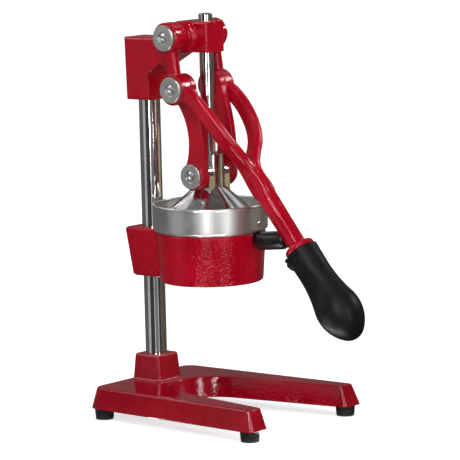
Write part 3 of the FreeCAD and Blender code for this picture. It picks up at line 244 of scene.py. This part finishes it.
def setRough(tree, shader, mask, look, low=0.0, high=1.0):
    rough = spread(tree, mask, low, high, look["smoothest"], look["roughest"])
    feed(tree, rough, shader.inputs["Roughness"])


# painted highlight: every edge is lightened in the base colour
def paintEdgeHighlight(tree, shader, edge, colour, look):
    share = maths(tree, "MULTIPLY", edge.outputs["Edge"], look["edgeHighlightShare"])
    feed(tree, blendColours(tree, share, colour, look["edgeHighlight"]), shader.inputs["Base Color"])


enamel = {
    "deep": (0.31, 0.0003, 0.0090), "bright": (0.38, 0.0005, 0.0130), "paintedShadeRed": (0.18, 0.0003, 0.005),
    "pitScale": 1100.0, "pitShadeShare": 0.35, "smearScale": 34.0, "edge": 0.0018,
}
# the tone makes lit and shaded copies of one red: 0.76 on the base is painted shade, 1.16 on the holder's ring
# is painted light
coats = {
    "smooth": {"lumpScale": 560.0, "stretch": (1, 1, 1), "calm": 0.3, "bump": 0.9, "depth": 0.00042,
               "valley": 0.12, "smoothest": 0.05, "roughest": 0.10, "lightAndShadeTone": 1.0, "gloss": 0.42},
    "thick": {"lumpScale": 420.0, "stretch": (1, 1, 1), "calm": 0.3, "bump": 0.9, "depth": 0.00036,
              "valley": 0.12, "smoothest": 0.03, "roughest": 0.07, "lightAndShadeTone": 0.76, "gloss": 0.55},
    "hammered": {"lumpScale": 430.0, "stretch": (0.72, 0.72, 1.5), "calm": 0.85, "bump": 0.9,
                 "depth": 0.00090, "valley": 0.5, "smoothest": 0.13, "roughest": 0.19, "lightAndShadeTone": 1.16,
                 "gloss": 0.24},
}


def makeRedEnamel(name, coat):
    material, tree, shader = newMaterial(name, {"Specular IOR Level": coat["gloss"]})
    skin = placeGroup(tree, castSkin, Lump_Scale=coat["lumpScale"], Pit_Scale=enamel["pitScale"],
                      Stretch=coat["stretch"], Calm=coat["calm"])
    edge = placeGroup(tree, softEdge, Radius=enamel["edge"])
    marks = placeGroup(tree, handling, Smear_Scale=enamel["smearScale"])
    # painted light and shade: the tone lightens or darkens this copy of the red
    deep, bright = (tuple(coat["lightAndShadeTone"] * part for part in enamel[shade]) for shade in ("deep", "bright"))
    colour = blendColours(tree, skin.outputs["Patch"], deep, bright)
    # painted shade: the red is darkened towards a deeper red in the valleys between the lumps and in the fine
    # pits
    hollow = maths(tree, "SUBTRACT", 1.0, skin.outputs["Crest"])
    shade = maths(tree, "MAXIMUM", maths(tree, "MULTIPLY", hollow, coat["valley"]),
                  maths(tree, "MULTIPLY", skin.outputs["Pits"], enamel["pitShadeShare"]))
    feed(tree, blendColours(tree, shade, colour, enamel["paintedShadeRed"]), shader.inputs["Base Color"])
    setRough(tree, shader, marks.outputs["Smears"], coat)
    bumpFrom(tree, shader, skin.outputs["Height"], coat, edge)
    return material


chrome = {"light": (0.86, 0.86, 0.87), "dull": (0.70, 0.69, 0.68), "smoothest": 0.025, "roughest": 0.07,
          "lineScale": 2600.0, "smearScale": 45.0, "edge": 0.0005, "bump": 0.006, "depth": 0.0002}


def makeChrome(name, centre):
    material, tree, shader = newMaterial(name, {"Metallic": 1.0})
    lines = placeGroup(tree, turnedLines, Centre=centre, Line_Scale=chrome["lineScale"])
    marks = placeGroup(tree, handling, Smear_Scale=chrome["smearScale"])
    edge = placeGroup(tree, softEdge, Radius=chrome["edge"])
    colour = blendColours(tree, marks.outputs["Smears"], chrome["light"], chrome["dull"])
    feed(tree, colour, shader.inputs["Base Color"])
    setRough(tree, shader, marks.outputs["Smears"], chrome)
    bumpFrom(tree, shader, lines.outputs["Lines"], chrome, edge)
    return material


caps = {"light": (0.72, 0.715, 0.695), "dark": (0.54, 0.535, 0.52), "smoothest": 0.34, "roughest": 0.46,
        "lineScale": 2200.0, "bump": 0.22, "depth": 0.0002, "edge": 0.0004, "edgeHighlightShare": 0.6,
        "edgeHighlight": (0.75, 0.75, 0.75), "range": (0.3, 0.7)}


# flat caps, faced on a lathe, so the lines run round the pivot
def makeCapSteel(name, centre):
    material, tree, shader = newMaterial(name, {"Metallic": 1.0})
    lines = placeGroup(tree, turnedLines, Centre=centre, Axis=(1, 0, 0), Line_Scale=caps["lineScale"])
    edge = placeGroup(tree, softEdge, Radius=caps["edge"])
    shade = spread(tree, lines.outputs["Lines"], *caps["range"])
    colour = blendColours(tree, shade, caps["dark"], caps["light"])
    # painted highlight along the caps' edges
    paintEdgeHighlight(tree, shader, edge, colour, caps)
    setRough(tree, shader, lines.outputs["Slow"], caps, *caps["range"])
    bumpFrom(tree, shader, lines.outputs["Lines"], caps, edge)
    return material


aluminium = {"light": (0.78, 0.77, 0.76), "dark": (0.62, 0.61, 0.60), "smoothest": 0.10, "roughest": 0.20,
             "lineScale": 900.0, "slowScale": 140.0, "smearScale": 120.0, "bump": 0.03, "depth": 0.0003,
             "edge": 0.0008, "edgeHighlightShare": 0.5, "edgeHighlight": (0.85, 0.84, 0.83), "mottle": (0.32, 0.68),
             "mottleRise": 0.5}


def makeAluminium():
    material, tree, shader = newMaterial("polishedAluminium", {"Metallic": 1.0})
    lines = placeGroup(tree, turnedLines, Line_Scale=aluminium["lineScale"],
                       Slow_Scale=aluminium["slowScale"])
    edge = placeGroup(tree, softEdge, Radius=aluminium["edge"])
    marks = placeGroup(tree, handling, Smear_Scale=aluminium["smearScale"])
    mottle = spread(tree, lines.outputs["Slow"], *aluminium["mottle"])
    colour = blendColours(tree, mottle, aluminium["dark"], aluminium["light"])
    # painted highlight along the edges
    paintEdgeHighlight(tree, shader, edge, colour, aluminium)
    setRough(tree, shader, marks.outputs["Smears"], aluminium)
    height = maths(tree, "MULTIPLY_ADD", mottle, aluminium["mottleRise"], lines.outputs["Lines"])
    bumpFrom(tree, shader, height, aluminium, edge)
    return material


stainless = {"light": (0.70, 0.695, 0.68), "dark": (0.64, 0.635, 0.62), "smoothest": 0.36, "roughest": 0.44,
             "lineScale": 1700.0, "slowScale": 60.0, "bump": 0.06, "depth": 0.0002, "edge": 0.0005,
             "edgeHighlightShare": 0.5, "edgeHighlight": (0.86, 0.85, 0.84), "lines": (0.28, 0.72), "slow": (0.3, 0.7),
             "rimPolish": 0.2, "brush": {"Metallic": 1.0, "Anisotropic": 0.35, "Anisotropic Rotation": 0.25}}


def makeStainless():
    material, tree, shader = newMaterial("brushedStainless", stainless["brush"])
    lines = placeGroup(tree, turnedLines, Line_Scale=stainless["lineScale"],
                       Slow_Scale=stainless["slowScale"])
    edge = placeGroup(tree, softEdge, Radius=stainless["edge"])
    shade = spread(tree, lines.outputs["Lines"], *stainless["lines"])
    colour = blendColours(tree, shade, stainless["dark"], stainless["light"])
    # painted highlight along the edges and the rim
    paintEdgeHighlight(tree, shader, edge, colour, stainless)
    satin = spread(tree, lines.outputs["Slow"], *stainless["slow"],
                   stainless["smoothest"], stainless["roughest"])
    polish = maths(tree, "MULTIPLY", edge.outputs["Edge"], stainless["rimPolish"])  # a brighter rolled rim
    feed(tree, maths(tree, "SUBTRACT", satin, polish), shader.inputs["Roughness"])
    bumpFrom(tree, shader, lines.outputs["Lines"], stainless, edge)
    return material


# mouldings and small hardware share one recipe: smears between two shades over a fine skin
# the metal ones take what they don't say from metalHardware
smallFinishes = {
    "gripBlack": {"sockets": {"Specular IOR Level": 0.14}, "clean": (0.005, 0.005, 0.0055),
                  "smeared": (0.009, 0.009, 0.010), "smearScale": 55.0, "smoothest": 0.40, "roughest": 0.52,
                  "lumps": 2200.0, "bump": 0.10, "depth": 0.0003, "edge": 0.0006},
    "knobBlack": {"sockets": {"Specular IOR Level": 0.35}, "clean": (0.008, 0.008, 0.008),
                  "smeared": (0.013, 0.013, 0.013), "smearScale": 55.0, "smoothest": 0.24, "roughest": 0.34,
                  "lumps": 1500.0, "bump": 0.04, "depth": 0.0003, "edge": 0.0006},
    "footRubber": {"sockets": {"Specular IOR Level": 0.3}, "clean": (0.008, 0.008, 0.008),
                   "smeared": (0.026, 0.026, 0.026), "smearScale": 55.0, "smoothest": 0.55, "roughest": 0.75,
                   "lumps": 1800.0, "bump": 0.25, "depth": 0.0003, "edge": 0.0008},
    "zincPlate": {"clean": (0.52, 0.52, 0.50), "smeared": (0.36, 0.36, 0.35),
                  "smoothest": 0.28, "roughest": 0.45},
    "groundSteel": {"clean": (0.60, 0.60, 0.60), "smeared": (0.44, 0.44, 0.44),
                    "smoothest": 0.22, "roughest": 0.36},
    "screwPlate": {"clean": (0.70, 0.70, 0.69), "smeared": (0.58, 0.58, 0.57),
                   "smoothest": 0.28, "roughest": 0.36},
    "rivetBrass": {"clean": (0.92, 0.84, 0.62), "smeared": (0.74, 0.66, 0.45),
                   "smoothest": 0.14, "roughest": 0.22},
}
metalHardware = {"sockets": {"Metallic": 1.0}, "smearScale": 320.0, "lumps": 1600.0, "bump": 0.05,
                 "depth": 0.0002, "edge": 0.0003}


def makeSmallFinish(name):
    look = {**metalHardware, **smallFinishes[name]}
    material, tree, shader = newMaterial(name, look["sockets"])
    skin = placeGroup(tree, castSkin, Lump_Scale=look["lumps"])
    marks = placeGroup(tree, handling, Smear_Scale=look["smearScale"])
    edge = placeGroup(tree, softEdge, Radius=look["edge"])
    colour = blendColours(tree, marks.outputs["Smears"], look["clean"], look["smeared"])
    feed(tree, colour, shader.inputs["Base Color"])
    setRough(tree, shader, marks.outputs["Smears"], look)
    bumpFrom(tree, shader, skin.outputs["Height"], look, edge)
    return material


def middleOf(node):
    low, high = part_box(node)
    return tuple((low + high) / 2)


finishOfSlot = {
    "red_enamel": makeRedEnamel("redEnamel", coats["smooth"]),
    "polished_aluminium": makeAluminium(),
    "stainless_sheet": makeStainless(),
    "black_grip": makeSmallFinish("gripBlack"),
    "black_knob": makeSmallFinish("knobBlack"),
    "black_rubber": makeSmallFinish("footRubber"),
    "zinc_screw": makeSmallFinish("zincPlate"),
    "pin_steel": makeSmallFinish("groundSteel"),
}
finishOfNode = {
    # the holder's ring gets a lighter copy of the red as painted light, the base a darker one as painted shade
    "bowl_holder": makeRedEnamel("hammeredEnamelPaintedLight", coats["hammered"]),
    "base_casting": makeRedEnamel("thickEnamelPaintedShade", coats["thick"]),
    "handle_rivet": makeSmallFinish("rivetBrass"),
    "column": makeChrome("columnChrome", middleOf("column")),
    "press_rod": makeChrome("rodChrome", middleOf("press_rod")),
}
screwFinish = makeSmallFinish("screwPlate")
for pivot in ("lever", "upper", "lower"):
    faced = makeCapSteel(pivot + "CapSteel", middleOf(pivot + "_left_cap"))
    for side in ("left", "right"):
        finishOfNode[f"{pivot}_{side}_cap"] = faced
        finishOfNode[f"{pivot}_{side}_screw"] = screwFinish
for name, piece in nodes.items():
    finish = finishOfNode.get(name) or finishOfSlot[slotOfNode[name]]
    piece.data.materials.clear()
    piece.data.materials.append(finish)
print("finishes set on", len(nodes), "pieces")


def addPiece(name, data):
    piece = bpy.data.objects.new(name, data)
    bpy.context.scene.collection.objects.link(piece)
    return piece


# black knob that lifts the strainer out: lengths in metres, the profile as radius and distance from its root
knob = {"node": "strainer_handle", "turn": 7.0, "tilt": 5.0, "drop": 0.0032, "sides": 64,
        "tipRound": 0.006, "tipSteps": 8, "sharp": 35.0,
        "profile": [(0.0048, 0.0), (0.0048, 0.0108), (0.0080, 0.0109), (0.0089, 0.0113),
                    (0.0093, 0.0122), (0.0093, 0.0380)]}


# turned with a square shoulder against the holder, and long enough to run on behind the lever's stem
def makeKnob():
    turn, tilt = math.radians(knob["turn"]), math.radians(knob["tilt"])
    level = Vector((math.sin(turn), -math.cos(turn), 0.0))
    outward = level * math.cos(tilt) + Vector((0.0, 0.0, math.sin(tilt)))
    across = Vector((0.0, 0.0, 1.0)).cross(level)
    upward = outward.cross(across)
    solid = nodes[knob["node"]].data
    root = level * min(corner.co.dot(level) for corner in solid.vertices)
    root.z = middleOf(knob["node"])[2] - knob["drop"]
    profile = list(knob["profile"])
    radius, straight = profile[-1]
    tipRound = knob["tipRound"]
    for step in range(1, knob["tipSteps"] + 1):
        angle = math.pi / 2 * step / knob["tipSteps"]
        profile.append((radius - tipRound * (1 - math.cos(angle)), straight + tipRound * math.sin(angle)))
    sides = knob["sides"]
    points, faces = [], []
    for ringRadius, along in profile:
        for side in range(sides):
            angle = 2 * math.pi * side / sides
            spoke = across * math.cos(angle) + upward * math.sin(angle)
            points.append(root + outward * along + spoke * ringRadius)
    for ring in range(len(profile) - 1):
        for side in range(sides):
            here, beside = ring * sides + side, ring * sides + (side + 1) % sides
            faces.append((here, beside, beside + sides, here + sides))
    last = (len(profile) - 1) * sides
    faces.append(tuple(range(sides - 1, -1, -1)))
    faces.append(tuple(range(last, last + sides)))
    mesh = bpy.data.meshes.new("liftingKnob")
    mesh.from_pydata(points, [], faces)
    mesh.shade_smooth()
    mesh.set_sharp_from_angle(angle=math.radians(knob["sharp"]))
    mesh.materials.append(finishOfSlot[slotOfNode[knob["node"]]])
    piece = addPiece("liftingKnob", mesh)
    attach(piece, "frame")
    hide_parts(knob["node"])


makeKnob()
print("lifting knob turned")


# camera fitted to the photograph
view = {"spot": (-2.31625, -1.95294, 0.61571), "right": (0.63689396, -0.77057037, -0.02423617),
        "up": (0.12255985, 0.07016147, 0.98997801), "lens": 238.17, "sensor": 36.0, "reach": 50.0}


def placeCamera():
    data = bpy.data.cameras.new("photoCamera")
    data.lens = view["lens"]
    data.sensor_width = view["sensor"]
    data.clip_end = view["reach"]
    camera = addPiece("photoCamera", data)
    right, up = Vector(view["right"]), Vector(view["up"])
    turn = Matrix((right, up, right.cross(up))).transposed()
    camera.matrix_world = Matrix.Translation(view["spot"]) @ turn.to_4x4()
    bpy.context.scene.camera = camera
    return camera


camera = placeCamera()
middle = Vector(middleOf("column"))
towardsCamera = camera.location - middle
towardsCamera.z = 0.0
towardsCamera.normalize()
acrossView = Vector((-towardsCamera.y, towardsCamera.x, 0.0))
if acrossView.dot(Vector(view["right"])) < 0:
    acrossView = -acrossView


# the studio is laid out by bearing round the column, in degrees from the camera's side, more to the right
def bearing(degrees, distance, height):
    angle = math.radians(degrees)
    flat = towardsCamera * math.cos(angle) + acrossView * math.sin(angle)
    return Vector((middle.x, middle.y, height)) + flat * distance


# mask of what is seen straight on, in a mirror or through glass, but not by soft light
def seenSharply(tree):
    path = addNode(tree, "ShaderNodeLightPath").outputs
    mirrored = maths(tree, "MAXIMUM", path["Is Glossy Ray"], path["Is Transmission Ray"])
    return maths(tree, "MAXIMUM", path["Is Camera Ray"], mirrored)


# pale floor that runs into the white behind it and keeps the shadow
floor = {"half": 6.0, "clean": (0.62, 0.62, 0.62), "grainShade": 0.99, "grainScale": 30.0,
         "grain": (0.3, 0.7), "liftNear": 0.70, "liftFar": 0.88, "near": 0.25, "far": 1.6, "rough": 0.6}


def makeFloor():
    half = floor["half"]
    corners = [(-half, -half, 0), (half, -half, 0), (half, half, 0), (-half, half, 0)]
    mesh = bpy.data.meshes.new("studioFloor")
    mesh.from_pydata(corners, [], [(0, 1, 2, 3)])
    material, tree, shader = newMaterial("paleFloor", {
        "Roughness": floor["rough"], "Specular IOR Level": 0.0, "Emission Color": (1, 1, 1, 1)})
    spot = objectSpot(tree)
    grain = spread(tree, noiseAt(tree, spot, floor["grainScale"]), *floor["grain"])
    grey = tuple(floor["grainShade"] * part for part in floor["clean"])
    feed(tree, blendColours(tree, grain, floor["clean"], grey), shader.inputs["Base Color"])
    away = vectorMaths(tree, "LENGTH", spot).outputs["Value"]
    lift = spread(tree, away, floor["near"], floor["far"], floor["liftNear"], floor["liftFar"])
    feed(tree, maths(tree, "MULTIPLY", seenSharply(tree), lift), shader.inputs["Emission Strength"])
    mesh.materials.append(material)
    addPiece("studioFloor", mesh)


makeFloor()

# cards of the studio: a rim of distances and heights, swept from one bearing to another, in a grey or a colour
strips = [(-8.5, -3.5), (30.0, 35.0)]  # bearings of the tall strips
stepDegrees = 6  # how far one face of a card turns
cards = {
    "walls": {"rim": [(0.05, 0.002), (1.9, 0.002), (1.9, 1.2)],
              "panels": [(-180, -135, 0.13), (-135, -80, 0.11), (-80, -52, (0.42, 0.42, 0.415)),
                         (-52, -6, (0.045, 0.045, 0.05)), (-6, 33, (0.18, 0.18, 0.185)),
                         (33, 60, (0.05, 0.047, 0.047)), (60, 95, (0.12, 0.095, 0.078)),
                         (95, 132, (0.09, 0.070, 0.056)), (132, 180, (0.13, 0.128, 0.126))]},
    "upperWalls": {"rim": [(1.9, 1.2), (1.9, 2.3)],
                   "panels": [(-180, -148, 0.14), (-148, -128, 0.75), (-128, -60, 0.12), (-60, 60, 0.06),
                              (60, 132, (0.09, 0.085, 0.08)), (132, 149, 0.65), (149, 180, 0.10)]},
    "ceiling": {"rim": [(0.02, 2.3), (1.9, 2.3)],
                "panels": [(-180, -148, 0.3), (-148, -128, 0.7), (-128, -100, 0.18), (-100, -60, 0.14),
                           (-60, 60, 0.05), (60, 119, (0.11, 0.105, 0.10)), (119, 123, 1.0), (123, 132, 0.06),
                           (132, 149, 0.6), (149, 180, 0.2)]},
    "goldSweep": {"rim": [(1.2, 0.004), (1.86, 0.004), (1.86, 0.1)],
                  "panels": [(88, 112, (0.42, 0.34, 0.20))]},
    "stripNear": {"rim": [(0.10, 0.006), (0.28, 0.006)], "panels": [(*strip, 26.0) for strip in strips]},
    "stripSweep": {"rim": [(0.05, 0.004), (1.88, 0.004)], "panels": [(*strip, 0.7) for strip in strips]},
    "stripFoot": {"rim": [(1.88, 0.004), (1.88, 0.06)], "panels": [(*strip, 2.2) for strip in strips]},
    "stripLamp": {"rim": [(1.88, 0.06), (1.88, 1.7)], "panels": [(*strip, 14.0) for strip in strips]},
}


def glow(name, colour):
    material = bpy.data.materials.new(name)
    material.use_nodes = True
    tree = material.node_tree
    tree.nodes.clear()
    light = addNode(tree, "ShaderNodeEmission")
    feed(tree, colour, light.inputs["Color"])
    feed(tree, light.outputs[0], addNode(tree, "ShaderNodeOutputMaterial").inputs["Surface"])
    return material


# a card shows only in reflections
def makeCard(name, rim, start, end, shade):
    steps = max(2, int((end - start) / stepDegrees))
    points, faces = [], []
    for step in range(steps + 1):
        degrees = start + (end - start) * step / steps
        points += [bearing(degrees, distance, height) for distance, height in rim]
    for step in range(steps):
        for side in range(len(rim) - 1):
            corner = step * len(rim) + side
            faces.append((corner, corner + len(rim), corner + len(rim) + 1, corner + 1))
    mesh = bpy.data.meshes.new(name)
    mesh.from_pydata(points, [], faces)
    colour = shade if isinstance(shade, tuple) else (shade, shade, shade)
    mesh.materials.append(glow(name + "Shade", colour))
    piece = addPiece(name, mesh)
    for ray in ("camera", "diffuse", "shadow", "transmission", "volume_scatter"):
        setattr(piece, "visible_" + ray, False)


for place, card in cards.items():
    for number, panel in enumerate(card["panels"]):
        makeCard(f"{place}Card{number}", card["rim"], *panel)

# two tall strips near the camera, a soft lamp on the left, a small one on the right, two for glints and one
# overhead, each at a bearing, distance and height
aimHeight = 0.2
lamps = {
    "stripLeft": {"at": (-6.0, 1.8, 0.85), "size": (0.16, 1.5), "watts": 11.0},
    "stripRight": {"at": (31.0, 1.8, 0.85), "size": (0.16, 1.5), "watts": 11.0},
    "softLeft": {"at": (-88.0, 1.7, 1.35), "size": (0.9, 0.8), "watts": 9.0},
    "sideRight": {"at": (102.0, 1.7, 1.15), "size": (0.15, 0.3), "watts": 7.0},
    "topGlint": {"at": (-6.0, 1.2, 1.75), "size": (0.14, 0.22), "watts": 6.0},
    "armGlint": {"at": (-14.0, 1.4, 0.84), "size": (0.14, 0.16), "watts": 4.5},
    "overhead": {"at": (150.0, 0.3, 1.35), "size": (1.2, 1.2), "watts": 3.4},
}
carded = ("stripLeft", "stripRight", "overhead")  # cards stand in for these in reflections
glossOnly = ("armGlint",)  # lights nothing, only shows in reflections


def placeLamps():
    for name, lamp in lamps.items():
        data = bpy.data.lights.new(name, "AREA")
        data.shape = "RECTANGLE"
        data.size, data.size_y = lamp["size"]
        data.energy = lamp["watts"]
        piece = addPiece(name, data)
        piece.location = bearing(*lamp["at"])
        aim = Vector((middle.x, middle.y, aimHeight)) - piece.location
        piece.rotation_euler = aim.to_track_quat("-Z", "Y").to_euler()
        piece.visible_glossy = name not in carded
        piece.visible_diffuse = name not in glossOnly


placeLamps()
surround = {"ambient": 0.38}


# white to the eye and in mirrors, dimmer as soft light
def makeWorld():
    world = bpy.data.worlds.new("whiteStudio")
    bpy.context.scene.world = world
    world.use_nodes = True
    tree = world.node_tree
    tree.nodes.clear()
    ambient = surround["ambient"]
    sky = addNode(tree, "ShaderNodeBackground")
    feed(tree, (1.0, 1.0, 1.0), sky.inputs["Color"])
    feed(tree, maths(tree, "MULTIPLY_ADD", seenSharply(tree), 1.0 - ambient, ambient), sky.inputs["Strength"])
    feed(tree, sky.outputs[0], addNode(tree, "ShaderNodeOutputWorld").inputs["Surface"])


makeWorld()
bpy.context.scene.view_settings.view_transform = "Standard"
print("studio ready")
